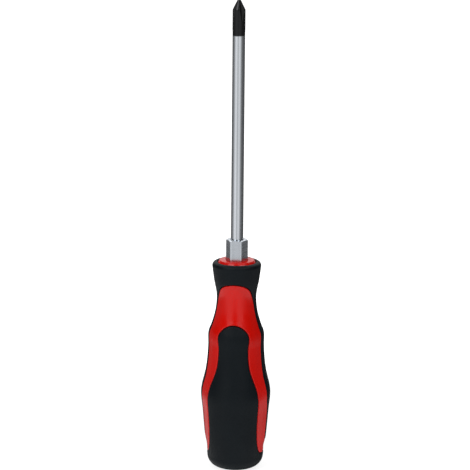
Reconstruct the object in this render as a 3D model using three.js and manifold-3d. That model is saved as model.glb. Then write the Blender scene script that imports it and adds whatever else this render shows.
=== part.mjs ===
// Cross-point screwdriver, PH2 x 125 mm, with a round shank, a hexagonal bolster and a three-shot moulded
// handle: a hard inner core round the tang, a red hard shell, and two black soft grips on the shell.
// Millimetres. The tool stands on its butt: +Z runs up the blade axis to the point, and the front is -Y.
// The red shell shows between the two grips as one wavy band round the handle. The band's two edges are
// curves on the unrolled handle, each given over a quarter turn, from the front (0 degrees) to the side (90).
import * as THREE from "three";
import { ConvexGeometry } from "three/addons/geometries/ConvexGeometry.js";
import { mergeVertices } from "three/addons/utils/BufferGeometryUtils.js";
import Module from "manifold-3d";

const wasm = await Module();
wasm.setup();

// ---- Driving dimensions -------------------------------------------------------------------------------

const HANDLE_LENGTH = 104;
const BLADE_LENGTH = 125; // from the handle's nose to the point
const SHANK_RADIUS = 3;
const HEX_ACROSS_FLATS = 9.5;
const HEX_LENGTH = 10; // what stands out of the nose
const HEX_SEAT = 3; // what is sunk in the nose
const HEX_SEAT_RELIEF = 0.2; // the sunk stretch is this much narrower across its flats
const HEX_CORNER_RADIUS = 5.3; // the bar's corners are broken to this radius
const HEX_CHAMFER = { inset: 0.3, drop: 0.75 }; // of the top, measured from the flats

const GRIP_THICKNESS = 2.2; // soft grip over the shell
const GRIP_PROUD = 0.1; // how far the soft grips stand above the red band
const GAP = 0.3; // between two moulded pieces
const STEEL_GAP = 0.1; // between steel and what holds it

const NOSE_RING_Z = HANDLE_LENGTH - 0.9; // crest of the front grip's ring
const NOSE_ROUND_RADIUS = 2;
const NOSE_RING_FLOOR_Z = NOSE_RING_Z - 2.3;
const NOSE_RING_LIP = 0.2; // how far the ring's crest slopes down to its inner edge
const NECK_TOP_RADIUS = 9.65; // inside of the front grip, just below the ring
const BOSS_RADIUS = 9.1; // red boss inside the front grip's ring
const BOSS_ROUND = 0.5; // rounding of the boss's rim
const BUTT_FLAT_RADIUS = 7.9;
const BUTT_EDGE_RADIUS = 5.8;
const BUTT_WINDOW_RADIUS = 5; // hole in the rear grip, where the shell's end disc shows
const BUTT_RECESS = 0.4;
const END_CROSS = { length: 5.2, width: 1.4, depth: 0.6 }; // sunk in the end disc

// Outer surface of the soft grips, [height, radius]: stations of one smooth curve, from the butt's rounded
// edge over the belly, the shoulder and the neck to the ring round the nose.
const GRIP_STATIONS = [
  [BUTT_EDGE_RADIUS, BUTT_FLAT_RADIUS + BUTT_EDGE_RADIUS],
  [15, 15.0],
  [29, 16.2],
  [37.5, 16.95],
  [41.5, 16.5],
  [47.5, 15.05],
  [54.5, 14.05],
  [61.5, 13.6],
  [68, 13.5],
  [72, 12.05],
  [79, 10.15],
  [86.5, 9.6],
  [94, 10.9],
  [NOSE_RING_Z - NOSE_ROUND_RADIUS, 11.85],
];

// Edges of the red band: stations of a smooth curve, [degrees from the front, height].
const BAND_TOP_EDGE = [
  [0, 93.5],
  [33.5, 92.1],
  [54, 88.9],
  [70, 83],
  [73, 74],
  [72, 62],
  [72.3, 45],
  [76, 34.5],
  [82, 29.5],
  [84, 22],
  [85.5, 15.5],
  [90, 13.6],
];
const BAND_BOTTOM_EDGE = [
  [0, 73.6],
  [21, 72.3],
  [34, 69.1],
  [32.6, 61],
  [34.7, 52.5],
  [45, 43],
  [49, 35],
  [50.5, 20],
  [56, 12.5],
  [67, 8.5],
  [90, 7.4],
];

const ROUND_SIDES = 48;
const BLADE_SIDES = 32;
const OUTER_STEPS = 2; // points for each station, where the surface shows
const INNER_STEPS = 1; // and where it doesn't
const EDGE_STEPS = 2; // points for each station of a band edge
const CUT_RADII = [1, 6, 7.5, 9, 10.5, 12, 13.5, 15, 17, 19]; // of the surfaces that part the colours

// ---- Solids by manifold-3d ----------------------------------------------------------------------------

function toSolid(geometry, matrix = new THREE.Matrix4()) {
  const bare = (geometry.index ? geometry.toNonIndexed() : geometry.clone()).applyMatrix4(matrix);
  bare.deleteAttribute("normal");
  bare.deleteAttribute("uv");
  const merged = mergeVertices(bare, 1e-4);
  const corners = [];
  for (let i = 0; i < merged.index.count; i += 3) {
    const [a, b, c] = [0, 1, 2].map((k) => merged.index.getX(i + k));
    if (a !== b && b !== c && c !== a) corners.push(a, b, c);
  }
  return new wasm.Manifold(
    new wasm.Mesh({
      numProp: 3,
      vertProperties: merged.attributes.position.array,
      triVerts: new Uint32Array(corners),
    }),
  );
}

function toGeometry(solid) {
  const { vertProperties, triVerts } = solid.getMesh();
  const geometry = new THREE.BufferGeometry();
  geometry.setAttribute("position", new THREE.BufferAttribute(new Float32Array(vertProperties), 3));
  geometry.setIndex(new THREE.BufferAttribute(new Uint32Array(triVerts), 1));
  const faceted = geometry.toNonIndexed();
  faceted.computeVertexNormals();
  return faceted;
}

// A solid of revolution about Z from [radius, height] points that run upwards, closed on the axis.
function turned(outline, sides = ROUND_SIDES) {
  const first = outline[0];
  const last = outline[outline.length - 1];
  const points = [[0, first[1]], ...outline, [0, last[1]]].map(([r, z]) => new THREE.Vector2(r, z));
  return toSolid(new THREE.LatheGeometry(points, sides), new THREE.Matrix4().makeRotationX(Math.PI / 2));
}

function rod(radius, low, high, sides = ROUND_SIDES) {
  return turned([[radius, low], [radius, high]], sides);
}

function block(width, depth, height, x, y, z, turn = 0) {
  const place = new THREE.Matrix4().makeRotationZ(turn).setPosition(x, y, z);
  return toSolid(new THREE.BoxGeometry(width, depth, height), place);
}

// A hexagonal bar along Z with two flats facing front and back.
function hexBar(acrossFlats, low, high) {
  const outline = new THREE.Shape();
  const corner = acrossFlats / Math.sqrt(3);
  for (let i = 0; i < 6; i++) {
    const turn = (i * Math.PI) / 3;
    outline[i ? "lineTo" : "moveTo"](corner * Math.cos(turn), corner * Math.sin(turn));
  }
  const bar = new THREE.ExtrudeGeometry(outline, { depth: high - low, bevelEnabled: false });
  return toSolid(bar, new THREE.Matrix4().makeTranslation(0, 0, low));
}

// ---- Handle surfaces ----------------------------------------------------------------------------------

// An arc of [radius, height] points about a centre, angles in degrees above the horizontal.
function arc(centreR, centreZ, radius, from, to, steps) {
  return Array.from({ length: steps + 1 }, (_, i) => {
    const a = THREE.MathUtils.degToRad(from + ((to - from) * i) / steps);
    return [centreR + radius * Math.cos(a), centreZ + radius * Math.sin(a)];
  });
}

// The handle's side between the butt's edge and the nose ring, moved in by an inset.
function handleSide(inset, steps) {
  const curve = new THREE.CatmullRomCurve3(
    GRIP_STATIONS.map(([z, r]) => new THREE.Vector3(r, z, 0)),
    false,
    "centripetal",
  );
  return curve.getPoints(steps * (GRIP_STATIONS.length - 1)).map((point) => [point.x - inset, point.y]);
}

function gripOuter() {
  const butt = arc(BUTT_FLAT_RADIUS, BUTT_EDGE_RADIUS, BUTT_EDGE_RADIUS, -90, 0, 6);
  const side = handleSide(0, OUTER_STEPS);
  const crestRadius = side[side.length - 1][0] - NOSE_ROUND_RADIUS;
  const crest = arc(crestRadius, NOSE_RING_Z - NOSE_ROUND_RADIUS, NOSE_ROUND_RADIUS, 0, 90, 4);
  const innerEdge = [BOSS_RADIUS + GAP, NOSE_RING_Z - NOSE_RING_LIP];
  return turned([...butt.slice(0, -1), ...side.slice(0, -1), ...crest, innerEdge]);
}

// Everything inside the soft grips: the handle less their thickness, and the way through for the boss.
function gripInner() {
  const side = handleSide(GRIP_THICKNESS, INNER_STEPS);
  const floor = [side[0][0] - BUTT_EDGE_RADIUS / 2, GRIP_THICKNESS];
  const neck = side.filter(([, z]) => z < NOSE_RING_FLOOR_Z);
  const hole = BOSS_RADIUS + GAP;
  const step = [
    [NECK_TOP_RADIUS, NOSE_RING_FLOOR_Z],
    [hole, NOSE_RING_FLOOR_Z],
  ];
  return turned([floor, ...neck, ...step, [hole, HANDLE_LENGTH]]);
}

function shellOuter() {
  const side = handleSide(GRIP_THICKNESS + GAP, INNER_STEPS);
  const floor = [side[0][0] - BUTT_EDGE_RADIUS / 2, GRIP_THICKNESS + GAP];
  const top = NOSE_RING_FLOOR_Z - GAP;
  const neck = side.filter(([, z]) => z < top);
  const rim = arc(BOSS_RADIUS - BOSS_ROUND, HANDLE_LENGTH - BOSS_ROUND, BOSS_ROUND, 0, 90, 3);
  return turned([floor, ...neck, [NECK_TOP_RADIUS - GAP, top], [BOSS_RADIUS, top], ...rim]);
}

// One quarter of a band edge as a smooth curve, moved along its own normal in the unrolled surface.
// The mirrored neighbours at both ends keep the curve level where it crosses the front and the side.
function quarterEdge(edge, shift) {
  const MM_PER_DEGREE = 0.24;
  const mirrored = (turn, [angle, z]) => [2 * turn - angle, z];
  const all = [mirrored(0, edge[1]), ...edge, mirrored(90, edge[edge.length - 2])];
  const curve = new THREE.CatmullRomCurve3(
    all.map(([angle, z]) => new THREE.Vector3(angle * MM_PER_DEGREE, z, 0)),
    false,
    "centripetal",
  );
  const start = 1 / (all.length - 1);
  const count = EDGE_STEPS * (edge.length - 1);
  return Array.from({ length: count + 1 }, (_, i) => {
    const t = start + (1 - 2 * start) * (i / count);
    const point = curve.getPoint(t);
    const along = curve.getTangent(t);
    return [(point.x - along.y * shift) / MM_PER_DEGREE, point.y + along.x * shift];
  });
}

// The whole edge, anticlockwise from the front: the quarter and its mirror images.
function wholeEdge(edge, shift) {
  const quarter = quarterEdge(edge, shift);
  quarter[0][0] = 0;
  quarter[quarter.length - 1][0] = 90;
  const back = quarter.slice(0, -1).reverse();
  const half = [...quarter, ...back.map(([angle, z]) => [180 - angle, z])];
  return [...half.slice(0, -1), ...half.slice(0, -1).map(([angle, z]) => [180 + angle, z])];
}

// Everything above a band edge: a thick sleeve whose lower face follows the edge, in narrow rings so that
// the face stays level along each radius. Its upper rim is level and evenly spaced.
function aboveEdge(edge, shift) {
  const rim = wholeEdge(edge, shift);
  const place = (angle, r, z) => {
    const a = THREE.MathUtils.degToRad(angle - 90);
    return [r * Math.cos(a), r * Math.sin(a), z];
  };
  const even = (i) => (i * 360) / rim.length;
  const far = CUT_RADII[CUT_RADII.length - 1];
  const rings = [
    ...CUT_RADII.map((r) => rim.map(([angle, z]) => place(angle, r, z))),
    rim.map((_, i) => place(even(i), far, 2 * HANDLE_LENGTH)),
    rim.map((_, i) => place(even(i), CUT_RADII[0], 2 * HANDLE_LENGTH)),
  ];
  const corners = [];
  rings.forEach((ring, k) => {
    const next = rings[(k + 1) % rings.length];
    ring.forEach((point, i) => {
      const j = (i + 1) % ring.length;
      corners.push(point, ring[j], next[j], point, next[j], next[i]);
    });
  });
  const sleeve = new THREE.BufferGeometry();
  sleeve.setAttribute("position", new THREE.BufferAttribute(new Float32Array(corners.flat()), 3));
  return toSolid(sleeve);
}

// ---- Blade: its own frame has the origin at the handle's nose -------------------------------------------

const TANG_DEPTH = 72; // how far the blade reaches into the handle
const WING = { width: 10, thickness: 2.4, height: 9 };
const WING_CENTRES = [-30, -52]; // the second pair is turned a quarter
const POINT_RADIUS = SHANK_RADIUS + 0.07; // the milled end is a little thicker than the shank
const POINT_END = { length: 13.5, taper: 2, shoulder: 5.2 }; // the milled end, measured from the point
const CONE = { foot: 4.35, footInset: 0.15, topRadius: 0.85, topDrop: 0.3, endRadius: 0.6 };
const TANG_CHAMFER = 0.7;
const POINT_TURN = THREE.MathUtils.degToRad(-8); // the point's wings against the bolster's flats
const FLUTE = { tip: 0.45, rise: 0.238, length: 12, halfOpening: THREE.MathUtils.degToRad(46) };

function shank() {
  const profile = [
    [SHANK_RADIUS - TANG_CHAMFER, -TANG_DEPTH],
    [SHANK_RADIUS, -TANG_DEPTH + TANG_CHAMFER],
    [SHANK_RADIUS, BLADE_LENGTH - POINT_END.length - POINT_END.taper],
    [POINT_RADIUS, BLADE_LENGTH - POINT_END.length],
    [POINT_RADIUS, BLADE_LENGTH - POINT_END.shoulder],
    [POINT_RADIUS - CONE.footInset, BLADE_LENGTH - CONE.foot],
    [CONE.topRadius, BLADE_LENGTH - CONE.topDrop],
    [CONE.endRadius, BLADE_LENGTH],
  ];
  return turned(profile, BLADE_SIDES);
}

// One of the four grooves between the point's wings. Its floor climbs out of the round towards the shank.
function flute(index) {
  const arm = 6;
  const section = (drop) => {
    const floor = FLUTE.tip + FLUTE.rise * drop;
    const reach = arm * Math.cos(FLUTE.halfOpening);
    const spread = arm * Math.sin(FLUTE.halfOpening);
    const z = BLADE_LENGTH - drop;
    return [
      new THREE.Vector3(floor, 0, z),
      new THREE.Vector3(floor + reach, spread, z),
      new THREE.Vector3(floor + reach, -spread, z),
    ];
  };
  const groove = new ConvexGeometry([...section(-1), ...section(FLUTE.length)]);
  const turn = POINT_TURN + Math.PI / 4 + (index * Math.PI) / 2;
  return toSolid(groove, new THREE.Matrix4().makeRotationZ(turn));
}

function tangWings(clearance) {
  const size = [WING.width + clearance, WING.thickness + clearance, WING.height + clearance];
  const [first, second] = WING_CENTRES.map((z, i) => block(...size, 0, 0, z, (i * Math.PI) / 2));
  return first.add(second);
}

function blade() {
  const steel = shank().add(tangWings(0));
  return [0, 1, 2, 3].reduce((made, index) => made.subtract(flute(index)), steel);
}

// The bolster's top is chamfered to a cone, which leaves an arc at the head of each flat. Below the nose the
// hexagon is a little smaller, so that the flats start where they leave the handle.
function hexBolster() {
  const turnedForm = turned([
    [HEX_CORNER_RADIUS, -HEX_SEAT],
    [HEX_CORNER_RADIUS, HEX_LENGTH - HEX_CHAMFER.drop],
    [HEX_ACROSS_FLATS / 2 - HEX_CHAMFER.inset, HEX_LENGTH],
  ]);
  const bore = rod(SHANK_RADIUS + STEEL_GAP, -2 * HEX_SEAT, 2 * HEX_LENGTH, BLADE_SIDES);
  const seat = hexBar(HEX_ACROSS_FLATS - HEX_SEAT_RELIEF, -HEX_SEAT, HEX_LENGTH / 2);
  return hexBar(HEX_ACROSS_FLATS, 0, HEX_LENGTH).add(seat).intersect(turnedForm).subtract(bore);
}

// ---- Handle pieces --------------------------------------------------------------------------------------

// Inner core, [radius, height], with its four ribs.
const CORE_PROFILE = [
  [8, 8],
  [9.5, 12],
  [10.2, 40],
  [8.2, 58],
  [6.4, 74],
  [5.4, 85],
  [5.9, 95],
  [5.9, 97],
];
const CORE_RIB = { width: 2, reach: 11.2, low: 14, high: 44 };

function coreShape(clearance) {
  const low = CORE_PROFILE[0][1];
  const high = CORE_PROFILE[CORE_PROFILE.length - 1][1];
  const body = turned(
    CORE_PROFILE.map(([r, z]) => [r + clearance, z + (z === low ? -clearance : z === high ? clearance : 0)]),
  );
  const height = CORE_RIB.high - CORE_RIB.low + 2 * clearance;
  const centre = (CORE_RIB.high + CORE_RIB.low) / 2;
  const reach = 2 * (CORE_RIB.reach + clearance);
  const rib = (turn) => block(reach, CORE_RIB.width + 2 * clearance, height, 0, 0, centre, turn);
  return body.add(rib(Math.PI / 4)).add(rib(-Math.PI / 4));
}

// What the tang takes up inside the handle, with room round it.
function tangRoom() {
  const room = rod(SHANK_RADIUS + STEEL_GAP, -TANG_DEPTH - STEEL_GAP, HEX_LENGTH, BLADE_SIDES);
  return room.add(tangWings(2 * STEEL_GAP)).translate(0, 0, HANDLE_LENGTH);
}

function innerCore() {
  return coreShape(0).subtract(tangRoom());
}

function redBand() {
  const butt = [BUTT_FLAT_RADIUS, BUTT_EDGE_RADIUS / 2];
  const whole = turned([butt, ...handleSide(GRIP_PROUD, OUTER_STEPS)]);
  return whole
    .intersect(aboveEdge(BAND_BOTTOM_EDGE, GAP / 2))
    .subtract(aboveEdge(BAND_TOP_EDGE, -GAP / 2));
}

// The drive symbol in the shell's end disc: a plain cross, for a cross-point blade.
function endCross() {
  const { length, width, depth } = END_CROSS;
  const bar = (turn) => block(length, width, 2 * depth, 0, 0, BUTT_RECESS, turn);
  return bar(0).add(bar(Math.PI / 2));
}

function handleShell() {
  const hexSeat = hexBar(HEX_ACROSS_FLATS + 2 * STEEL_GAP, -HEX_SEAT - STEEL_GAP, HEX_LENGTH);
  const endDisc = rod(BUTT_WINDOW_RADIUS - GAP, BUTT_RECESS, 2 * GRIP_THICKNESS);
  return shellOuter()
    .add(redBand())
    .add(endDisc)
    .subtract(coreShape(GAP))
    .subtract(tangRoom())
    .subtract(hexSeat.translate(0, 0, HANDLE_LENGTH))
    .subtract(endCross());
}

function softGrip() {
  const window = rod(BUTT_WINDOW_RADIUS, -GRIP_THICKNESS, 2 * GRIP_THICKNESS);
  return gripOuter().subtract(gripInner()).subtract(window);
}

function frontGrip() {
  return softGrip().intersect(aboveEdge(BAND_TOP_EDGE, GAP / 2));
}

function rearGrip() {
  return softGrip().subtract(aboveEdge(BAND_BOTTOM_EDGE, -GAP / 2));
}

// ---- Materials and assembly -------------------------------------------------------------------------------

const satinChrome = new THREE.MeshStandardMaterial({ color: 0xb4bac2, roughness: 0.32, metalness: 1 });
const bolsterSteel = new THREE.MeshStandardMaterial({ color: 0xa8aeb6, roughness: 0.4, metalness: 1 });
const corePlastic = new THREE.MeshStandardMaterial({ color: 0x55585a, roughness: 0.6, metalness: 0 });
const redPlastic = new THREE.MeshStandardMaterial({ color: 0xc4161a, roughness: 0.35, metalness: 0 });
const blackSoft = new THREE.MeshStandardMaterial({ color: 0x1d2022, roughness: 0.7, metalness: 0 });

function piece(name, solid, material) {
  const mesh = new THREE.Mesh(toGeometry(solid), material);
  mesh.name = name;
  return mesh;
}

const handle = new THREE.Group();
handle.add(
  piece("inner_core", innerCore(), corePlastic),
  piece("handle_shell", handleShell(), redPlastic),
  piece("front_grip", frontGrip(), blackSoft),
  piece("rear_grip", rearGrip(), blackSoft),
);

const bladeSet = new THREE.Group();
bladeSet.position.z = HANDLE_LENGTH;
bladeSet.add(piece("blade", blade(), satinChrome), piece("hex_bolster", hexBolster(), bolsterSteel));

const screwdriver = new THREE.Group();
screwdriver.add(handle, bladeSet);

export default screwdriver;
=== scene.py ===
"""Looks for a PH2 x 125 mm screwdriver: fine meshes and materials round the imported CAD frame.

The CAD frame is used throughout: metres, +Z up the blade, the tool standing on its butt, the front at -Y.
The handle's surfaces are laid out on a flat sheet of angle and height, one quarter of a turn at a time. The
red band's two edges are smooth curves on that sheet, so that the black grips and the red shell share them.
"""

import math

import bmesh
import bpy
import numpy as np
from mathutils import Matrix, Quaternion, Vector
from mathutils.geometry import delaunay_2d_cdt
from mathutils.kdtree import KDTree


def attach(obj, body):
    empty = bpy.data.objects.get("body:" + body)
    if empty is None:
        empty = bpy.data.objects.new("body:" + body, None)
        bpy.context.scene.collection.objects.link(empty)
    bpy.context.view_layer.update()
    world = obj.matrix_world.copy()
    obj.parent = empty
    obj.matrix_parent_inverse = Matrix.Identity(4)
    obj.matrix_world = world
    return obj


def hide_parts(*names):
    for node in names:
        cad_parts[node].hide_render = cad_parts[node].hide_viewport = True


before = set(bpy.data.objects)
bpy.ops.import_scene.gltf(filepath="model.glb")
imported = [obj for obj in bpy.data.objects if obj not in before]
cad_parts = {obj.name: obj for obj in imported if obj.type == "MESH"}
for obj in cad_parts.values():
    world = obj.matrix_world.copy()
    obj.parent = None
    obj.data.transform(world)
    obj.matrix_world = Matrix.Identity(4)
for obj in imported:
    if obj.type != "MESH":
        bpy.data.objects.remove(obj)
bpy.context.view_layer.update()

MM = 0.001

# ---- Sizes of the tool, in millimetres, as in the CAD part -------------------------------------------

HANDLE_LENGTH = 104.0
BLADE_LENGTH = 125.0
SHANK_RADIUS = 3.0
HEX_ACROSS_FLATS = 9.5
HEX_LENGTH = 10.0
HEX_SEAT = 3.0
GRIP_THICKNESS = 2.2
GRIP_PROUD = 0.1
GAP = 0.3
STEEL_GAP = 0.1
NOSE_RING_Z = HANDLE_LENGTH - 0.9
NOSE_ROUND_RADIUS = 2.0
BOSS_RADIUS = 9.1
BOSS_TOP_RADIUS = 8.5
BUTT_FLAT_RADIUS = 7.9
BUTT_EDGE_RADIUS = 5.8
BUTT_WINDOW_RADIUS = 5.0
BUTT_RECESS = 0.4

# [height, radius] of the grips' outer surface, and [degrees from the front, height] of the band's edges.
GRIP_STATIONS = [
    (BUTT_EDGE_RADIUS, BUTT_FLAT_RADIUS + BUTT_EDGE_RADIUS),
    (15, 15.0),
    (29, 16.2),
    (37.5, 16.95),
    (41.5, 16.5),
    (47.5, 15.05),
    (54.5, 14.05),
    (61.5, 13.6),
    (68, 13.5),
    (72, 12.05),
    (79, 10.15),
    (86.5, 9.6),
    (94, 10.9),
    (NOSE_RING_Z - NOSE_ROUND_RADIUS, 11.85),
]
BAND_TOP_EDGE = [
    (0, 93.5),
    (33.5, 92.1),
    (54, 88.9),
    (70, 83),
    (73, 74),
    (72, 62),
    (72.3, 45),
    (76, 34.5),
    (82, 29.5),
    (84, 22),
    (85.5, 15.5),
    (90, 13.6),
]
BAND_BOTTOM_EDGE = [
    (0, 73.6),
    (21, 72.3),
    (34, 69.1),
    (32.6, 61),
    (34.7, 52.5),
    (45, 43),
    (49, 35),
    (50.5, 20),
    (56, 12.5),
    (67, 8.5),
    (90, 7.4),
]

SHEET_MM_PER_DEGREE = 0.24  # scale of the flat sheet: one degree round a 27.5 mm handle
SIDE = 90 * SHEET_MM_PER_DEGREE  # the sheet's far side, where the handle's side line is


# ---- Smooth curves through the stations --------------------------------------------------------------


def smooth_curve(points, per_span):
    """Centripetal Catmull-Rom curve through 2-D points, carried on straight past both ends."""
    p = np.array(points, float)
    return spans_through(np.vstack([2 * p[0] - p[1], p, 2 * p[-1] - p[-2]]), per_span)


def spans_through(p, per_span):
    """The curve's points from the second of the given points to the last but one."""
    knots = np.concatenate([[0], np.cumsum(np.sqrt(np.linalg.norm(np.diff(p, axis=0), axis=1)))])
    out = []
    for i in range(1, len(p) - 2):
        k0, k1, k2, k3 = knots[i - 1 : i + 3]
        p0, p1, p2, p3 = p[i - 1 : i + 3]
        for t in np.linspace(k1, k2, per_span, endpoint=False):
            a1 = ((k1 - t) * p0 + (t - k0) * p1) / (k1 - k0)
            a2 = ((k2 - t) * p1 + (t - k1) * p2) / (k2 - k1)
            a3 = ((k3 - t) * p2 + (t - k2) * p3) / (k3 - k2)
            b1 = ((k2 - t) * a1 + (t - k0) * a2) / (k2 - k0)
            b2 = ((k3 - t) * a2 + (t - k1) * a3) / (k3 - k1)
            out.append(((k2 - t) * b1 + (t - k1) * b2) / (k2 - k1))
    out.append(p[-2])
    return np.array(out)


HANDLE_CURVE = smooth_curve(GRIP_STATIONS, 24)


def handle_radius(z):
    return np.interp(z, HANDLE_CURVE[:, 0], HANDLE_CURVE[:, 1])


def edge_curve(stations):
    """A band edge over a quarter turn on the flat sheet, level at the front and the side."""
    p = np.array([(a * SHEET_MM_PER_DEGREE, z) for a, z in stations], float)
    first = np.array([-p[1][0], p[1][1]])
    last = np.array([2 * SIDE - p[-2][0], p[-2][1]])
    return spans_through(np.vstack([first, p, last]), 30)


def resample(points, spacing):
    """The same curve with its points evenly spaced."""
    length = np.concatenate([[0], np.cumsum(np.linalg.norm(np.diff(points, axis=0), axis=1))])
    count = max(2, round(length[-1] / spacing) + 1)
    at = np.linspace(0, length[-1], count)
    return np.stack([np.interp(at, length, points[:, k]) for k in (0, 1)], -1)


def offset_curve(points, distance):
    """The curve moved sideways on the handle's real surface: positive is up the handle."""
    tangent = np.gradient(points, axis=0)
    stretch = real_stretch(points[:, 1])
    tangent[:, 0] *= stretch
    normal = np.stack([-tangent[:, 1], tangent[:, 0]], -1)
    normal /= np.linalg.norm(normal, axis=1)[:, None]
    moved = points + distance * np.stack([normal[:, 0] / stretch, normal[:, 1]], -1)
    moved[0, 0] = 0
    moved[-1, 0] = SIDE
    return moved


def real_stretch(z):
    """Real millimetres round the handle for one millimetre of the flat sheet."""
    return handle_radius(z) * math.pi / 180 / SHEET_MM_PER_DEGREE


TOP_EDGE = edge_curve(BAND_TOP_EDGE)
BOTTOM_EDGE = edge_curve(BAND_BOTTOM_EDGE)


# ---- Quarter sheets of triangles ---------------------------------------------------------------------

ROUND = 0.55  # radius of the moulded edges beside the band
SAG_WIDTH = 3.0  # from the band's edges to its hollow middle
ROWS = [0, 0.03, 0.09, 0.18, 0.3, 0.44, 0.58, 0.85]  # distances of the rows of points beside an edge
EDGE_SPACING = 0.7
SHOWN_SPACING = 1.1
HIDDEN_SPACING = 3.5
NEAREST_SPACING = 0.04  # of the points that measure the distance to an edge
WELD = 0.002  # points closer than this are one
AROUND = 108  # points of every full ring on the handle


def inside(outline, x, z):
    """Whether a point lies in a closed outline, by the edges that a level line from it crosses."""
    x0, z0 = outline[:, 0], outline[:, 1]
    x1, z1 = np.roll(x0, -1), np.roll(z0, -1)
    crosses = (z0 > z) != (z1 > z)
    with np.errstate(divide="ignore", invalid="ignore"):
        at = x0 + (z - z0) * (x1 - x0) / (z1 - z0)
    return bool((crosses & (x < at)).sum() % 2)


def side_heights(low, high, rows_low, rows_high):
    """Heights up a straight side of the outline, close together beside a moulded edge."""
    near = ROWS[1:]
    start = [low + d for d in near] if rows_low else []
    end = [high - d for d in reversed(near)] if rows_high else []
    a = start[-1] if start else low
    b = end[0] if end else high
    count = max(1, round((b - a) / SHOWN_SPACING))
    middle = list(np.linspace(a, b, count + 1))
    below = [low, *start[:-1]] if start else []
    above = [*end[1:], high] if end else []
    return below + middle + above


def level_row(z):
    """A level end of the outline, with the same spacing as a full ring."""
    return np.array([(x, z) for x in np.linspace(0, SIDE, AROUND // 4 + 1)])


def outline_between(low_curve, high_curve, rows_low, rows_high):
    """Closed outline between two curves across the sheet. The rows are for its moulded edges."""
    right = side_heights(low_curve[-1][1], high_curve[-1][1], rows_low, rows_high)[1:-1]
    left = side_heights(low_curve[0][1], high_curve[0][1], rows_low, rows_high)[1:-1]
    return np.array(
        [tuple(p) for p in low_curve]
        + [(SIDE, z) for z in right]
        + [tuple(p) for p in high_curve[::-1]]
        + [(0, z) for z in left[::-1]]
    )


def quarter_sheet(outline, edges, spacing):
    """Triangles over a quarter's outline. Beside each moulded edge the points lie in rows along it."""
    beside = []
    for curve, sign in edges:
        for distance in ROWS[1:]:
            row = offset_curve(curve, sign * distance)[1:-1]
            beside += [tuple(p) for p in row if inside(outline, *p)]
    border = [tuple(p) for p in outline]
    tree = KDTree(len(beside) + len(border))
    for i, p in enumerate(beside + border):
        tree.insert((p[0], p[1], 0), i)
    tree.balance()
    step_z = spacing * math.sqrt(3) / 2
    inner = []
    for k, z in enumerate(np.arange(outline[:, 1].min() + step_z, outline[:, 1].max(), step_z)):
        for x in np.arange(spacing / 2 * (1 + k % 2), SIDE - spacing / 3, spacing):
            if tree.find((x, z, 0))[2] > 0.6 * spacing and inside(outline, x, z):
                inner.append((x, z))
    constraint = [(i, (i + 1) % len(border)) for i in range(len(border))]
    points = [Vector(p) for p in border + beside + inner]
    found = delaunay_2d_cdt(points, constraint, [], 0, 1e-6)
    flat = np.array([tuple(v) for v in found[0]])
    return flat, [f for f in found[2] if inside(outline, *flat[list(f)].mean(0))]


def quarter_angles(x, quarter):
    """Angle from the front for a sheet's x, in one of the four mirrored quarters."""
    degrees = np.asarray(x) / SHEET_MM_PER_DEGREE
    return np.radians([degrees, 180 - degrees, 180 + degrees, 360 - degrees][quarter])


def wrap(flat, radius, quarter):
    """Points of a sheet put round the blade axis at the given radii."""
    angle = quarter_angles(flat[:, 0], quarter)
    return np.stack([radius * np.sin(angle), -radius * np.cos(angle), flat[:, 1]], -1)


def rounded_drop(flat, curves, radius, reach, hollow=0.0):
    """How far a moulded edge's rounding lowers each point: an ellipse over its reach from the edge.

    A hollow makes the surface sag that much more between its raised edges.
    """
    close = [np.vstack([curve, resample(curve, NEAREST_SPACING)]) for curve in curves]
    samples = np.vstack([wrap(curve, handle_radius(curve[:, 1]), 0) for curve in close])
    tree = KDTree(len(samples))
    for i, p in enumerate(samples):
        tree.insert(p, i)
    tree.balance()
    places = wrap(flat, handle_radius(flat[:, 1]), 0)
    distance = np.array([tree.find(p)[2] for p in places])
    distance[distance < WELD] = 0
    short = np.clip(1 - distance / reach, 0, 1)
    rise = np.clip(1 - distance / SAG_WIDTH, 0, 1)
    return radius * (1 - np.sqrt(1 - short**2)) + hollow * (1 - rise**2)


def ring(radius, z):
    """A level ring of points. The radius is a number, or a function of the angle from the front."""
    angles = np.radians(np.arange(AROUND) * 360 / AROUND)
    radii = radius(angles) if callable(radius) else np.full(AROUND, float(radius))
    return np.stack([radii * np.sin(angles), -radii * np.cos(angles), np.full(AROUND, float(z))], -1)


def arc(centre_r, centre_z, radius, start, end, steps):
    """(radius, height) points of an arc, in degrees above the outward level direction."""
    angles = np.radians(np.linspace(start, end, steps + 1))
    return [(centre_r + radius * math.cos(a), centre_z + radius * math.sin(a)) for a in angles]


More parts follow.
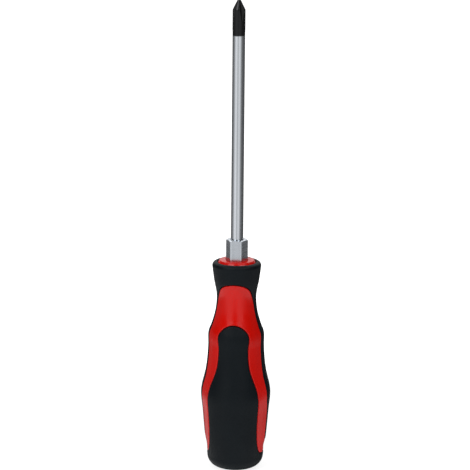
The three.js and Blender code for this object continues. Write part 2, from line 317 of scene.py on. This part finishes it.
class Skin:
    """Gathers points and faces of one piece, then welds them into one closed mesh."""

    def __init__(self):
        self.points = []
        self.faces = []

    def add(self, points, faces):
        base = len(self.points)
        self.points.extend(tuple(map(float, p)) for p in points)
        self.faces.extend([tuple(base + int(i) for i in f) for f in faces])

    def rows(self, rows):
        """Bands of faces between rings of equal count."""
        for low, high in zip(rows, rows[1:]):
            n = len(low)
            self.add([*low, *high], [(i, (i + 1) % n, n + (i + 1) % n, n + i) for i in range(n)])

    def fan(self, loop, centre):
        """Triangles from a ring to a point that closes it."""
        n = len(loop)
        self.add([*loop, centre], [(i, (i + 1) % n, n) for i in range(n)])

    def sheet(self, flat, triangles, radius):
        """A quarter's sheet put round the handle in all four quarters."""
        for quarter in range(4):
            self.add(wrap(flat, radius, quarter), triangles)

    def wall(self, curve, outer, inner):
        """A radial wall under an edge curve, all the way round."""
        n = len(curve)
        faces = [(i, i + 1, n + i + 1, n + i) for i in range(n - 1)]
        for quarter in range(4):
            self.add([*wrap(curve, outer, quarter), *wrap(curve, inner, quarter)], faces)

    def build(self, name, smooth_below=40):
        """The mesh object, smooth except at edges that bend more than the given degrees."""
        mesh = bpy.data.meshes.new(name)
        mesh.from_pydata(np.array(self.points) * MM, [], self.faces)
        work = bmesh.new()
        work.from_mesh(mesh)
        bmesh.ops.remove_doubles(work, verts=work.verts, dist=WELD * MM)
        bmesh.ops.dissolve_degenerate(work, edges=work.edges, dist=WELD / 4 * MM)
        bmesh.ops.recalc_face_normals(work, faces=work.faces)
        if work.calc_volume(signed=True) < 0:
            bmesh.ops.reverse_faces(work, faces=work.faces)
        loose = sum(1 for e in work.edges if len(e.link_faces) != 2)
        work.to_mesh(mesh)
        work.free()
        mesh.shade_smooth()
        mesh.set_sharp_from_angle(angle=math.radians(smooth_below))
        piece = bpy.data.objects.new(name, mesh)
        bpy.context.scene.collection.objects.link(piece)
        print(f"{name}: {len(mesh.polygons)} faces, {loose} edges without two faces")
        return piece


# ---- Handle pieces -----------------------------------------------------------------------------------

GRIP_TOP = NOSE_RING_Z - 2.6  # the level where the front grip's ring is turned instead
GRIP_BOTTOM = BUTT_EDGE_RADIUS
SHELL_UNDER = GRIP_THICKNESS + GAP
GRIP_EDGE_REACH = 0.7  # how far from its edge a grip's rounding starts
BAND_EDGE_REACH = 0.8
BAND_HOLLOW = 0.4  # how far the red band sags between its edges
NOSE_LIP_DROP = 0.05  # from the nose ring's top to the lip round the boss
NOSE_RING_FLOOR_Z = NOSE_RING_Z - 2.3


def shifted(curve, distance):
    return offset_curve(resample(curve, EDGE_SPACING), distance)


def rings(profile):
    return [ring(r, z) for r, z in profile]


def grip_skin(outline, edge, side):
    """A soft grip's outside, underside and moulded edge. Side is 1 for a grip above the edge, -1 below."""
    skin = Skin()
    flat, triangles = quarter_sheet(outline, [(edge, side)], SHOWN_SPACING)
    drop = rounded_drop(flat, [edge], ROUND, GRIP_EDGE_REACH)
    skin.sheet(flat, triangles, handle_radius(flat[:, 1]) - drop)
    under, under_triangles = quarter_sheet(outline, [], HIDDEN_SPACING)
    skin.sheet(under, under_triangles, handle_radius(under[:, 1]) - GRIP_THICKNESS)
    edge_radius = handle_radius(edge[:, 1])
    skin.wall(edge, edge_radius - ROUND, edge_radius - GRIP_THICKNESS)
    return skin


def front_grip():
    edge = shifted(TOP_EDGE, GAP / 2)
    skin = grip_skin(outline_between(edge, level_row(GRIP_TOP), True, False), edge, 1)
    outer_r = handle_radius(GRIP_TOP)
    under_r = outer_r - GRIP_THICKNESS
    round_r = GRIP_STATIONS[-1][1] - NOSE_ROUND_RADIUS
    round_z = NOSE_RING_Z - NOSE_ROUND_RADIUS
    middle_z = (GRIP_TOP + round_z) / 2
    mouth = BOSS_RADIUS + GAP
    lip = 0.35
    lip_z = NOSE_RING_Z - NOSE_LIP_DROP - lip
    profile = [
        (outer_r, GRIP_TOP),
        (handle_radius(middle_z), middle_z),
        *arc(round_r, round_z, NOSE_ROUND_RADIUS, 0, 90, steps=12),
        *arc(mouth + lip, lip_z, lip, 90, 180, steps=5),
        (mouth, NOSE_RING_FLOOR_Z),
        (under_r, NOSE_RING_FLOOR_Z),
        (under_r, GRIP_TOP),
    ]
    skin.rows(rings(profile))
    return skin.build("front_grip_soft")


def rear_grip():
    edge = shifted(BOTTOM_EDGE, -GAP / 2)
    skin = grip_skin(outline_between(level_row(GRIP_BOTTOM), edge, False, True), edge, -1)
    outer_r = BUTT_FLAT_RADIUS + BUTT_EDGE_RADIUS
    inner_r = outer_r - GRIP_THICKNESS
    lip = 0.3
    profile = [
        *arc(BUTT_FLAT_RADIUS, BUTT_EDGE_RADIUS, BUTT_EDGE_RADIUS, 0, -90, steps=14),
        *arc(BUTT_WINDOW_RADIUS + lip, lip, lip, -90, -180, steps=4),
        (BUTT_WINDOW_RADIUS, GRIP_THICKNESS),
        (inner_r - BUTT_EDGE_RADIUS / 2, GRIP_THICKNESS),
        (inner_r, GRIP_BOTTOM),
    ]
    skin.rows(rings(profile))
    return skin.build("rear_grip_soft")


def from_flat(angles):
    """Angle of each direction from the middle of the nearest of six flats, one of them at the front."""
    return (angles + math.pi / 6) % (math.pi / 3) - math.pi / 6


def hexagon(across_flats):
    """Radius of a hexagon with flats facing front and back, as a function of the angle from the front."""

    def radius(angles):
        return across_flats / 2 / np.cos(from_flat(angles))

    return radius


def rounded_hexagon(across_flats, fillet, angles):
    """Radius of the same hexagon with rounded corners."""
    half = across_flats / 2
    turn = np.abs(from_flat(angles))
    centre = (half - fillet) / math.cos(math.pi / 6)
    off = math.pi / 6 - turn
    corner = centre * np.cos(off) + np.sqrt(np.maximum(fillet**2 - (centre * np.sin(off)) ** 2, 0))
    on_flat = np.tan(turn) * half <= (half - fillet) * math.tan(math.pi / 6)
    return np.where(on_flat, half / np.cos(turn), corner)


# (radius, height) down the wall of the room for the inner core, from the shank to the room's floor.
CORE_ROOM = [
    (3.1, 97.3),
    (6.2, 97.3),
    (5.7, 85),
    (6.7, 74),
    (8.5, 58),
    (10.5, 44.6),
    (11.5, 44.3),
    (11.5, 13.7),
    (8.3, 7.7),
]


def handle_shell():
    """The red band, the shell under both grips, the boss, the end disc and the room for the core."""
    skin = Skin()
    low = shifted(BOTTOM_EDGE, GAP / 2)
    high = shifted(TOP_EDGE, -GAP / 2)
    band = outline_between(low, high, True, True)
    flat, triangles = quarter_sheet(band, [(low, 1), (high, -1)], SHOWN_SPACING)
    drop = rounded_drop(flat, [low, high], ROUND, BAND_EDGE_REACH, BAND_HOLLOW)
    skin.sheet(flat, triangles, handle_radius(flat[:, 1]) - GRIP_PROUD - drop)
    for curve in (low, high):
        r = handle_radius(curve[:, 1])
        skin.wall(curve, r - GRIP_PROUD - ROUND, r - SHELL_UNDER)
    for outline in (
        outline_between(high, level_row(GRIP_TOP), True, False),
        outline_between(level_row(GRIP_BOTTOM), low, False, True),
    ):
        under, under_triangles = quarter_sheet(outline, [], HIDDEN_SPACING)
        skin.sheet(under, under_triangles, handle_radius(under[:, 1]) - SHELL_UNDER)
    skin.rows(nose_rings())
    skin.rows(butt_rings())
    end_disc(skin)
    return skin.build("handle_shell_red")


def nose_rings():
    """From under the front grip over the domed boss, into the bolster's seat and round the core."""
    rim = 0.4  # radius of the rounding round the boss's top
    crown = 0.1  # rise of the boss's top from its rim to the seat
    bend = 0.12  # the slope up the boss's side starts and ends with a small bend
    slope_foot = NOSE_RING_Z - 0.55
    dome = [
        (BOSS_RADIUS, GRIP_TOP),
        (BOSS_RADIUS, slope_foot),
        (BOSS_RADIUS - bend, slope_foot + 0.25),
        (BOSS_TOP_RADIUS + bend, HANDLE_LENGTH - rim - bend),
        *arc(BOSS_TOP_RADIUS - rim, HANDLE_LENGTH - crown - rim, rim, 10, 88, steps=6),
        (BOSS_TOP_RADIUS - 1.8, HANDLE_LENGTH - crown / 2),
        (BOSS_TOP_RADIUS - 2.4, HANDLE_LENGTH - crown / 5),
    ]
    socket = HEX_ACROSS_FLATS + 2 * STEEL_GAP
    seat = HANDLE_LENGTH - HEX_SEAT - STEEL_GAP
    lead = 0.2  # the seat's mouth opens this far to each side
    return [
        ring(handle_radius(GRIP_TOP) - SHELL_UNDER, GRIP_TOP),
        *rings(dome),
        ring(hexagon(socket + 2 * lead), HANDLE_LENGTH),
        ring(hexagon(socket + lead / 2), HANDLE_LENGTH - lead / 2),
        ring(hexagon(socket), HANDLE_LENGTH - 1.5 * lead),
        ring(hexagon(socket), seat),
        ring(SHANK_RADIUS + STEEL_GAP, seat),
        *rings(CORE_ROOM),
        ring(0, CORE_ROOM[-1][1]),
    ]


END_DISC_RADIUS = BUTT_WINDOW_RADIUS - GAP
END_DISC_LIP = 0.25
CROSS_LENGTH = 5.2
CROSS_WIDTH = 1.4
CROSS_FLOOR = 1.0  # height of the sunk cross's floor above the butt's flat


def butt_rings():
    """The shell's underside inside the butt cup, and the end disc's side and lip."""
    under = BUTT_FLAT_RADIUS + BUTT_EDGE_RADIUS - SHELL_UNDER
    lip = END_DISC_LIP
    return rings(
        [
            (under, GRIP_BOTTOM),
            (under - BUTT_EDGE_RADIUS / 2, SHELL_UNDER),
            (END_DISC_RADIUS, SHELL_UNDER),
            *arc(END_DISC_RADIUS - lip, BUTT_RECESS + lip, lip, 0, -90, steps=4),
        ]
    )


def end_disc(skin):
    """The shell's end disc in the butt, with a sunk cross for a cross-point blade."""
    rim = [tuple(p[:2]) for p in ring(END_DISC_RADIUS - END_DISC_LIP, 0)]
    reach, half = CROSS_LENGTH / 2, CROSS_WIDTH / 2
    arm = [(reach, -half), (reach, half), (half, half)]
    cross = [turned_point(p, k) for k in range(4) for p in arm]
    n, m = len(rim), len(cross)
    rim_edges = [(i, (i + 1) % n) for i in range(n)]
    cross_edges = [(n + i, n + (i + 1) % m) for i in range(m)]
    found = delaunay_2d_cdt([Vector(p) for p in rim + cross], rim_edges + cross_edges, [], 0, 1e-6)
    flat = np.array([tuple(v) for v in found[0]])
    cross_outline = np.array(cross)
    sunk = [f for f in found[2] if inside(cross_outline, *flat[list(f)].mean(0))]
    level = [f for f in found[2] if f not in sunk]
    skin.add([(x, y, BUTT_RECESS) for x, y in flat], level)
    skin.add([(x, y, CROSS_FLOOR) for x, y in flat], sunk)
    skin.rows([[(x, y, z) for x, y in cross] for z in (BUTT_RECESS, CROSS_FLOOR)])


def turned_point(point, quarters):
    """A level point turned about the blade axis by whole quarters."""
    x, y = point
    for _ in range(quarters):
        x, y = -y, x
    return x, y


# ---- Steel pieces ------------------------------------------------------------------------------------

POINT_Z = HANDLE_LENGTH + BLADE_LENGTH
TANG_DEPTH = 72.0
TANG_CHAMFER = 0.6
BLADE_AROUND = 288  # points round the blade
POINT_TURN = math.radians(-8)  # of the point's wings against the bolster's flats
POINT_RADIUS = SHANK_RADIUS + 0.07
SWELL_Z = POINT_Z - 15.5  # where the shank starts to swell to the point's radius
SWELL_LENGTH = 2.0
SHOULDER_Z = POINT_Z - 5.2  # where the point's cone starts
CONE_FOOT = (POINT_RADIUS - 0.15, POINT_Z - 4.35)
CONE_TOP = (0.9, POINT_Z - 0.35)
FLUTE_TIP = 0.45  # from the axis to a flute's floor at the very tip
FLUTE_RISE = 0.238  # growth of that distance for each millimetre down the blade
FLUTE_LENGTH = 12.0
FLUTE_HALF_OPENING = math.radians(46)
FLUTE_BLEND = 0.05  # rounding where the flutes' walls meet the bar


def blade_profile():
    """(radius, height) of the round bar, from the tang's end to the point."""
    low = HANDLE_LENGTH - TANG_DEPTH
    bar = [(SHANK_RADIUS - TANG_CHAMFER, low), (SHANK_RADIUS, low + 0.8)]
    bar += [(SHANK_RADIUS, z) for z in np.arange(low + 2, SWELL_Z - 0.5, 4.0)]
    for z in np.arange(SWELL_Z, SHOULDER_Z, 0.22):
        rise = np.clip((z - SWELL_Z) / SWELL_LENGTH, 0, 1)
        bar.append((SHANK_RADIUS + (POINT_RADIUS - SHANK_RADIUS) * rise * rise * (3 - 2 * rise), z))
    start, bend, foot, top = [
        np.array(p, float)
        for p in ((POINT_RADIUS, SHOULDER_Z), (POINT_RADIUS, SHOULDER_Z + 0.5), CONE_FOOT, CONE_TOP)
    ]
    for t in np.linspace(0, 1, 9):
        bar.append(tuple((1 - t) ** 2 * start + 2 * t * (1 - t) * bend + t * t * foot))
    bar += [tuple(foot + (top - foot) * t) for t in np.linspace(0, 1, 25)[1:]]
    return bar + [(0.8, POINT_Z - 0.14), (0.62, POINT_Z - 0.03), (0.4, POINT_Z)]


def fluted(radius, z, angles):
    """Radius of the bar at each angle, where the four flutes cut into it."""
    if POINT_Z - z > FLUTE_LENGTH + 0.5:
        return np.full(len(angles), radius)
    floor = FLUTE_TIP + FLUTE_RISE * (POINT_Z - z)
    turn = (angles - POINT_TURN) % (math.pi / 2) - math.pi / 4
    slope = math.tan(FLUTE_HALF_OPENING)
    open_side = np.cos(turn) * slope - np.abs(np.sin(turn))
    nearly_shut = 0.02  # below this the cut lies far outside the bar
    cut = np.where(open_side > nearly_shut, floor * slope / np.maximum(open_side, nearly_shut), 99.0)
    gap = np.clip(0.5 + (cut - radius) / (2 * FLUTE_BLEND), 0, 1)
    blended = cut + (radius - cut) * gap - FLUTE_BLEND * gap * (1 - gap)
    return np.maximum(blended, 0.05)


def level_loop(radius, z, angles):
    """A level loop of points at the given angles. The radius is a number or one for each angle."""
    return np.stack([radius * np.sin(angles), -radius * np.cos(angles), np.full(len(angles), z)], -1)


def blade():
    skin = Skin()
    angles = np.arange(BLADE_AROUND) * 2 * math.pi / BLADE_AROUND
    profile = blade_profile()
    loops = [level_loop(fluted(radius, z, angles), z, angles) for radius, z in profile]
    skin.rows(loops)
    skin.fan(loops[0], (0, 0, profile[0][1]))
    skin.fan(loops[-1], (0, 0, POINT_Z))
    return skin.build("blade_steel", 28)


HEX_FILLET = 1.2  # radius of the bar's rounded corners, seen along the blade
HEAD_INSET = 0.12  # of the round top face inside the flats
HEAD_SLOPE = 1.75  # the head's cone widens this much for each millimetre down
FOOT_SLOPE = 1.2  # the foot's cone widens this much for each millimetre up
FOOT_START = 0.3  # of the foot's cone outside the flats
RIM_HEIGHT = 0.13  # of the broken edge round the top face
RIM_INSET = 0.25
BOLSTER_AROUND = 360


def bolster():
    """The hexagon bar with rounded corners, a cone turned on its head and foot, and a hole for the blade."""
    skin = Skin()
    angles = np.arange(BOLSTER_AROUND) * 2 * math.pi / BOLSTER_AROUND
    low, high = HANDLE_LENGTH - HEX_SEAT, HANDLE_LENGTH + HEX_LENGTH
    half = HEX_ACROSS_FLATS / 2
    hex_radius = rounded_hexagon(HEX_ACROSS_FLATS, HEX_FILLET, angles)
    on_flats = np.linspace(low + 1, high - 2, 8)
    on_head = np.linspace(high - 1.6, high - 0.12, 26)
    loops = []
    for z in [low, low + 0.3, *on_flats, *on_head, high - 0.03, high]:
        cone = half - HEAD_INSET + (high - z) * HEAD_SLOPE
        foot = half + FOOT_START + (z - low) * FOOT_SLOPE
        r = np.minimum(hex_radius, np.minimum(cone, foot))
        if z > high - RIM_HEIGHT:
            r = np.minimum(r, half - HEAD_INSET - RIM_INSET * (1 - (high - z) / RIM_HEIGHT))
        loops.append(level_loop(r, z, angles))
    bore = SHANK_RADIUS + STEEL_GAP
    hole = [(bore + 0.3, high), (bore + 0.08, high - 0.08), (bore, high - 0.3), (bore, low)]
    loops += [level_loop(radius, z, angles) for radius, z in hole]
    skin.rows([*loops, loops[0]])
    return skin.build("bolster_steel", 22)


# ---- Material building blocks ------------------------------------------------------------------------

MIX_COLOURS = slice(6, 8)  # sockets A and B of a Mix node that mixes colours


class Paint:
    """A node material with short calls for the nodes that these finishes use."""

    def __init__(self, name):
        self.material = bpy.data.materials.new(name)
        self.material.use_nodes = True
        self.nodes = self.material.node_tree.nodes
        self.links = self.material.node_tree.links
        self.shader = self.nodes["Principled BSDF"]
        self.place = self.nodes.new("ShaderNodeTexCoord").outputs["Object"]

    def set(self, **values):
        for key, value in values.items():
            self.shader.inputs[key.replace("_", " ")].default_value = value

    def link(self, output, socket):
        self.links.new(output, self.shader.inputs[socket])

    def scaled(self, scale):
        """The object's coordinates times three factors: a small one draws a pattern out along that axis."""
        node = self.nodes.new("ShaderNodeMapping")
        node.inputs["Scale"].default_value = scale
        self.links.new(self.place, node.inputs["Vector"])
        return node.outputs[0]

    def noise(self, scale, detail=3.0, stretch=None):
        node = self.nodes.new("ShaderNodeTexNoise")
        node.inputs["Scale"].default_value = scale
        node.inputs["Detail"].default_value = detail
        self.links.new(self.scaled(stretch) if stretch else self.place, node.inputs["Vector"])
        return node.outputs["Fac"]

    def ramp(self, value, low, high, out_low=0.0, out_high=1.0):
        """A smooth step from one output number to the other between two input numbers."""
        node = self.nodes.new("ShaderNodeMapRange")
        node.interpolation_type = "SMOOTHSTEP"
        for key, number in zip(("From Min", "From Max", "To Min", "To Max"), (low, high, out_low, out_high)):
            node.inputs[key].default_value = number
        self.links.new(value, node.inputs["Value"])
        return node.outputs[0]

    def math(self, operation, a, b):
        node = self.nodes.new("ShaderNodeMath")
        node.operation = operation
        for socket, value in zip(node.inputs, (a, b)):
            if isinstance(value, (int, float)):
                socket.default_value = value
            else:
                self.links.new(value, socket)
        return node.outputs[0]

    def mix(self, factor, a, b):
        node = self.nodes.new("ShaderNodeMix")
        node.data_type = "RGBA"
        self.links.new(factor, node.inputs["Factor"])
        for socket, value in zip(node.inputs[MIX_COLOURS], (a, b)):
            if isinstance(value, tuple):
                socket.default_value = (*value, 1)
            else:
                self.links.new(value, socket)
        return node.outputs[2]

    def height(self):
        """Height of each point above the butt's flat, in metres."""
        split = self.nodes.new("ShaderNodeSeparateXYZ")
        self.links.new(self.place, split.inputs[0])
        return split.outputs["Z"]

    def bump(self, value, strength, distance):
        node = self.nodes.new("ShaderNodeBump")
        node.inputs["Strength"].default_value = strength
        node.inputs["Distance"].default_value = distance
        self.links.new(value, node.inputs["Height"])
        self.links.new(node.outputs[0], self.shader.inputs["Normal"])


def red_plastic():
    """Semi-gloss moulding, with faint clouds in its colour and gloss and hardly any relief."""
    paint = Paint("red_plastic")
    paint.set(Specular_IOR_Level=0.28)
    cloud = paint.ramp(paint.noise(60, 2), 0.35, 0.65)
    paint.link(paint.mix(cloud, (0.58, 0.004, 0.001), (0.62, 0.005, 0.002)), "Base Color")
    paint.link(paint.ramp(paint.noise(220, 2), 0.3, 0.7, 0.22, 0.27), "Roughness")
    paint.bump(paint.noise(700, 2), 0.012, 0.00004)
    return paint.material


def soft_black():
    """Matt elastomer with a fine moulded grain."""
    paint = Paint("soft_black")
    paint.set(Specular_IOR_Level=0.17)
    cloud = paint.ramp(paint.noise(90, 3), 0.3, 0.7)
    paint.link(paint.mix(cloud, (0.0004, 0.0028, 0.0048), (0.0012, 0.004, 0.0062)), "Base Color")
    paint.link(paint.ramp(paint.noise(1400, 3), 0.3, 0.7, 0.46, 0.6), "Roughness")
    paint.bump(paint.noise(5200, 2), 0.35, 0.00006)
    return paint.material


def steel(name, colour, roughness, oxide_from=None):
    """Satin steel with lines drawn along it and fine turning marks round it.

    Above the height oxide_from, in metres, it is black oxide.
    """
    paint = Paint(name)
    drawn_lines = paint.noise(400, 4, (1, 1, 0.04))
    turning_marks = paint.noise(1800, 3, (0.05, 0.05, 1))
    darker = tuple(0.93 * c for c in colour)
    base = paint.mix(paint.ramp(drawn_lines, 0.3, 0.7), darker, colour)
    rough = paint.ramp(turning_marks, 0.3, 0.7, roughness - 0.04, roughness + 0.05)
    if oxide_from is None:
        paint.set(Metallic=1.0)
    else:
        wander = paint.math("MULTIPLY", paint.noise(500, 3), 0.0006)
        level = paint.math("ADD", paint.height(), wander)
        oxide = paint.ramp(level, oxide_from + 0.0001, oxide_from + 0.0006)
        base = paint.mix(oxide, base, (0.012, 0.0125, 0.0135))
        rough = paint.math("ADD", rough, paint.math("MULTIPLY", oxide, 0.12))
        paint.link(paint.math("SUBTRACT", 1.0, paint.math("MULTIPLY", oxide, 0.35)), "Metallic")
    paint.link(base, "Base Color")
    paint.link(rough, "Roughness")
    paint.bump(turning_marks, 0.012, 0.00003)
    return paint.material


def core_plastic():
    """Plain dark grey moulding, out of sight."""
    paint = Paint("core_plastic")
    paint.link(paint.mix(paint.noise(200, 2), (0.08, 0.085, 0.09), (0.1, 0.105, 0.11)), "Base Color")
    paint.set(Roughness=0.6)
    return paint.material


# ---- Dressing the frame ------------------------------------------------------------------------------

OXIDE_LENGTH = 17.0
RED = red_plastic()
BLACK = soft_black()
CHROME = steel("satin_chrome", (0.64, 0.67, 0.71), 0.18, (POINT_Z - OXIDE_LENGTH) * MM)
BOLSTER = steel("bolster_steel", (0.62, 0.66, 0.71), 0.26)

PIECES = [
    (handle_shell, "handle_shell", "red_plastic", RED),
    (front_grip, "front_grip", "soft_black", BLACK),
    (rear_grip, "rear_grip", "soft_black", BLACK),
    (blade, "blade", "blade_steel", CHROME),
    (bolster, "hex_bolster", "bolster_steel", BOLSTER),
]
for make, node, slot, material in PIECES:
    piece = make()
    piece.data.materials.append(material)
    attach(piece, "root")
    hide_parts(node)

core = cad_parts["inner_core"]
core.data.materials.clear()
core.data.materials.append(core_plastic())

# ---- Camera ------------------------------------------------------------------------------------------

scene = bpy.context.scene
VIEW_TURN = math.radians(6.8)  # the camera stands this far to the right of the front panel
VIEW_PITCH = math.radians(13.0)
VIEW_ROLL = math.radians(0.5)
LOOK_HEIGHT = 0.11596
VIEW_DISTANCE = 0.9608
LENS_RATIO = 4.255  # focal length over the picture's width
SIDE_STEP = -0.001  # of the camera and its target, to the right

camera_data = bpy.data.cameras.new("camera")
camera_data.lens = LENS_RATIO * camera_data.sensor_width
camera_data.clip_start = 0.05
camera = bpy.data.objects.new("camera", camera_data)
scene.collection.objects.link(camera)
scene.camera = camera
to_camera = Vector((math.sin(VIEW_TURN), -math.cos(VIEW_TURN), 0))
to_right = Vector((math.cos(VIEW_TURN), math.sin(VIEW_TURN), 0))
view_line = to_camera * math.cos(VIEW_PITCH) + Vector((0, 0, math.sin(VIEW_PITCH)))
target = Vector((0, 0, LOOK_HEIGHT)) + to_right * SIDE_STEP
camera.location = target + view_line * VIEW_DISTANCE
camera.rotation_mode = "QUATERNION"
camera.rotation_quaternion = (-view_line).to_track_quat("-Z", "Y") @ Quaternion((0, 0, 1), VIEW_ROLL)

# ---- Light -------------------------------------------------------------------------------------------

scene.view_settings.view_transform = "Standard"
scene.view_settings.look = "None"


def flat_stage(name, outline, colour, glow):
    """A level sheet at the floor's height, its outline given to the camera's right and away from the camera.

    The tool's gloss doesn't mirror it, but the room below.
    """
    mesh = bpy.data.meshes.new(name)
    mesh.from_pydata([to_right * x - to_camera * y for x, y in outline], [], [range(len(outline))])
    sheet = bpy.data.objects.new(name, mesh)
    scene.collection.objects.link(sheet)
    paint = Paint(name)
    paint.set(Base_Color=(colour, colour, colour, 1), Roughness=0.9, Specular_IOR_Level=0.1)
    paint.set(Emission_Color=(1, 1, 1, 1), Emission_Strength=glow)
    mesh.materials.append(paint.material)
    sheet.visible_glossy = False
    return sheet


FLOOR_RADIUS = 0.16
FLOOR_AROUND = 96
SWEEP = [(-0.135, 0.08), (0.135, 0.08), (0.42, 2.4), (-0.42, 2.4)]  # widens away behind the tool
SWEEP_DROP = 0.0005  # keeps the sweep just under the floor

turns = [2 * math.pi * i / FLOOR_AROUND for i in range(FLOOR_AROUND)]
flat_stage("floor", [(FLOOR_RADIUS * math.cos(a), FLOOR_RADIUS * math.sin(a)) for a in turns], 0.28, 0.84)
flat_stage("sweep", SWEEP, 0.5, 1.0).location.z = -SWEEP_DROP

SOFT_BOX_SIZE = 0.7
SOFT_BOX_HEIGHT = 1.25
SOFT_BOX_REACH = 0.8  # to the side, and nearer the camera or farther
LIT_POINT = Vector((0, 0, 0.08))


def soft_box(name, side, nearer, watts):
    """A square soft box that faces the tool. Side is 1 for the right, nearer is 1 for the camera's side."""
    data = bpy.data.lights.new(name, "AREA")
    data.size = SOFT_BOX_SIZE
    data.energy = watts
    lamp = bpy.data.objects.new(name, data)
    level = (to_right * side + to_camera * nearer) * SOFT_BOX_REACH
    lamp.location = level + Vector((0, 0, SOFT_BOX_HEIGHT))
    lamp.rotation_euler = (LIT_POINT - lamp.location).to_track_quat("-Z", "Y").to_euler()
    scene.collection.objects.link(lamp)


soft_box("box_front_left", -1, 1, 9.0)
soft_box("box_front_right", 1, 1, 6.0)
soft_box("box_back_left", -1, -1, 4.0)
soft_box("box_back_right", 1, -1, 4.0)

# Brightness of the room at each bearing: 0 degrees is towards the camera, 90 towards the picture's right.
# UNDER is for directions well below the level, LOW for those a little below it, and HIGH for those above it.
ROOM_UNDER = [
    (-180, 0.1),
    (-160, 0.3),
    (-138, 1.8),
    (-110, 1.3),
    (-80, 1.1),
    (0, 1.1),
    (50, 1.5),
    (80, 3.2),
    (105, 1.2),
    (130, 0.3),
    (160, 0.2),
    (180, 0.1),
]
ROOM_LOW = [
    (-180, 0.1),
    (-135, 0.15),
    (-103, 0.2),
    (-74, 0.48),
    (-48, 1.1),
    (-30, 1.0),
    (-10, 0.6),
    (14, 0.95),
    (35, 0.7),
    (54, 0.3),
    (75, 0.15),
    (105, 0.11),
    (180, 0.1),
]
ROOM_HIGH = [
    (-180, 1.6),
    (-135, 0.14),
    (-90, 0.1),
    (-54, 0.2),
    (-37, 5.0),
    (-22, 0.45),
    (6, 0.4),
    (22, 4.6),
    (38, 0.2),
    (90, 0.1),
    (135, 0.14),
    (180, 1.6),
]


def studio_world():
    """The room round the tool. Its brightness changes with the bearing, in three bands of height."""
    world = bpy.data.worlds.new("studio")
    scene.world = world
    world.use_nodes = True
    nodes = world.node_tree.nodes
    links = world.node_tree.links
    direction = nodes.new("ShaderNodeTexCoord").outputs["Generated"]

    def along(axis):
        node = nodes.new("ShaderNodeVectorMath")
        node.operation = "DOT_PRODUCT"
        node.inputs[1].default_value = axis
        links.new(direction, node.inputs[0])
        return node.outputs["Value"]

    def share(value, low, high):
        node = nodes.new("ShaderNodeMapRange")
        node.inputs["From Min"].default_value = low
        node.inputs["From Max"].default_value = high
        links.new(value, node.inputs["Value"])
        return node.outputs[0]

    bearing = nodes.new("ShaderNodeMath")
    bearing.operation = "ARCTAN2"
    links.new(along(to_right), bearing.inputs[0])
    links.new(along(to_camera), bearing.inputs[1])
    turn = share(bearing.outputs[0], -math.pi, math.pi)

    def room(table):
        node = nodes.new("ShaderNodeValToRGB")
        node.color_ramp.interpolation = "CARDINAL"
        for _ in table[2:]:
            node.color_ramp.elements.new(0.5)
        # Every position is set before any colour, because a new position can reorder the elements.
        for element, (degrees, _) in zip(node.color_ramp.elements, table):
            element.position = (degrees + 180) / 360
        for element, (_, value) in zip(node.color_ramp.elements, table):
            element.color = (value, value, value, 1)
        links.new(turn, node.inputs[0])
        return node.outputs[0]

    def blend(factor, below, above):
        node = nodes.new("ShaderNodeMix")
        node.data_type = "RGBA"
        links.new(factor, node.inputs["Factor"])
        for output, socket in zip((below, above), node.inputs[MIX_COLOURS]):
            links.new(output, socket)
        return node.outputs[2]

    rise = along(Vector((0, 0, 1)))
    lower = blend(share(rise, -0.42, -0.3), room(ROOM_UNDER), room(ROOM_LOW))
    whole = blend(share(rise, -0.03, 0.1), lower, room(ROOM_HIGH))
    links.new(whole, nodes["Background"].inputs["Color"])


studio_world()
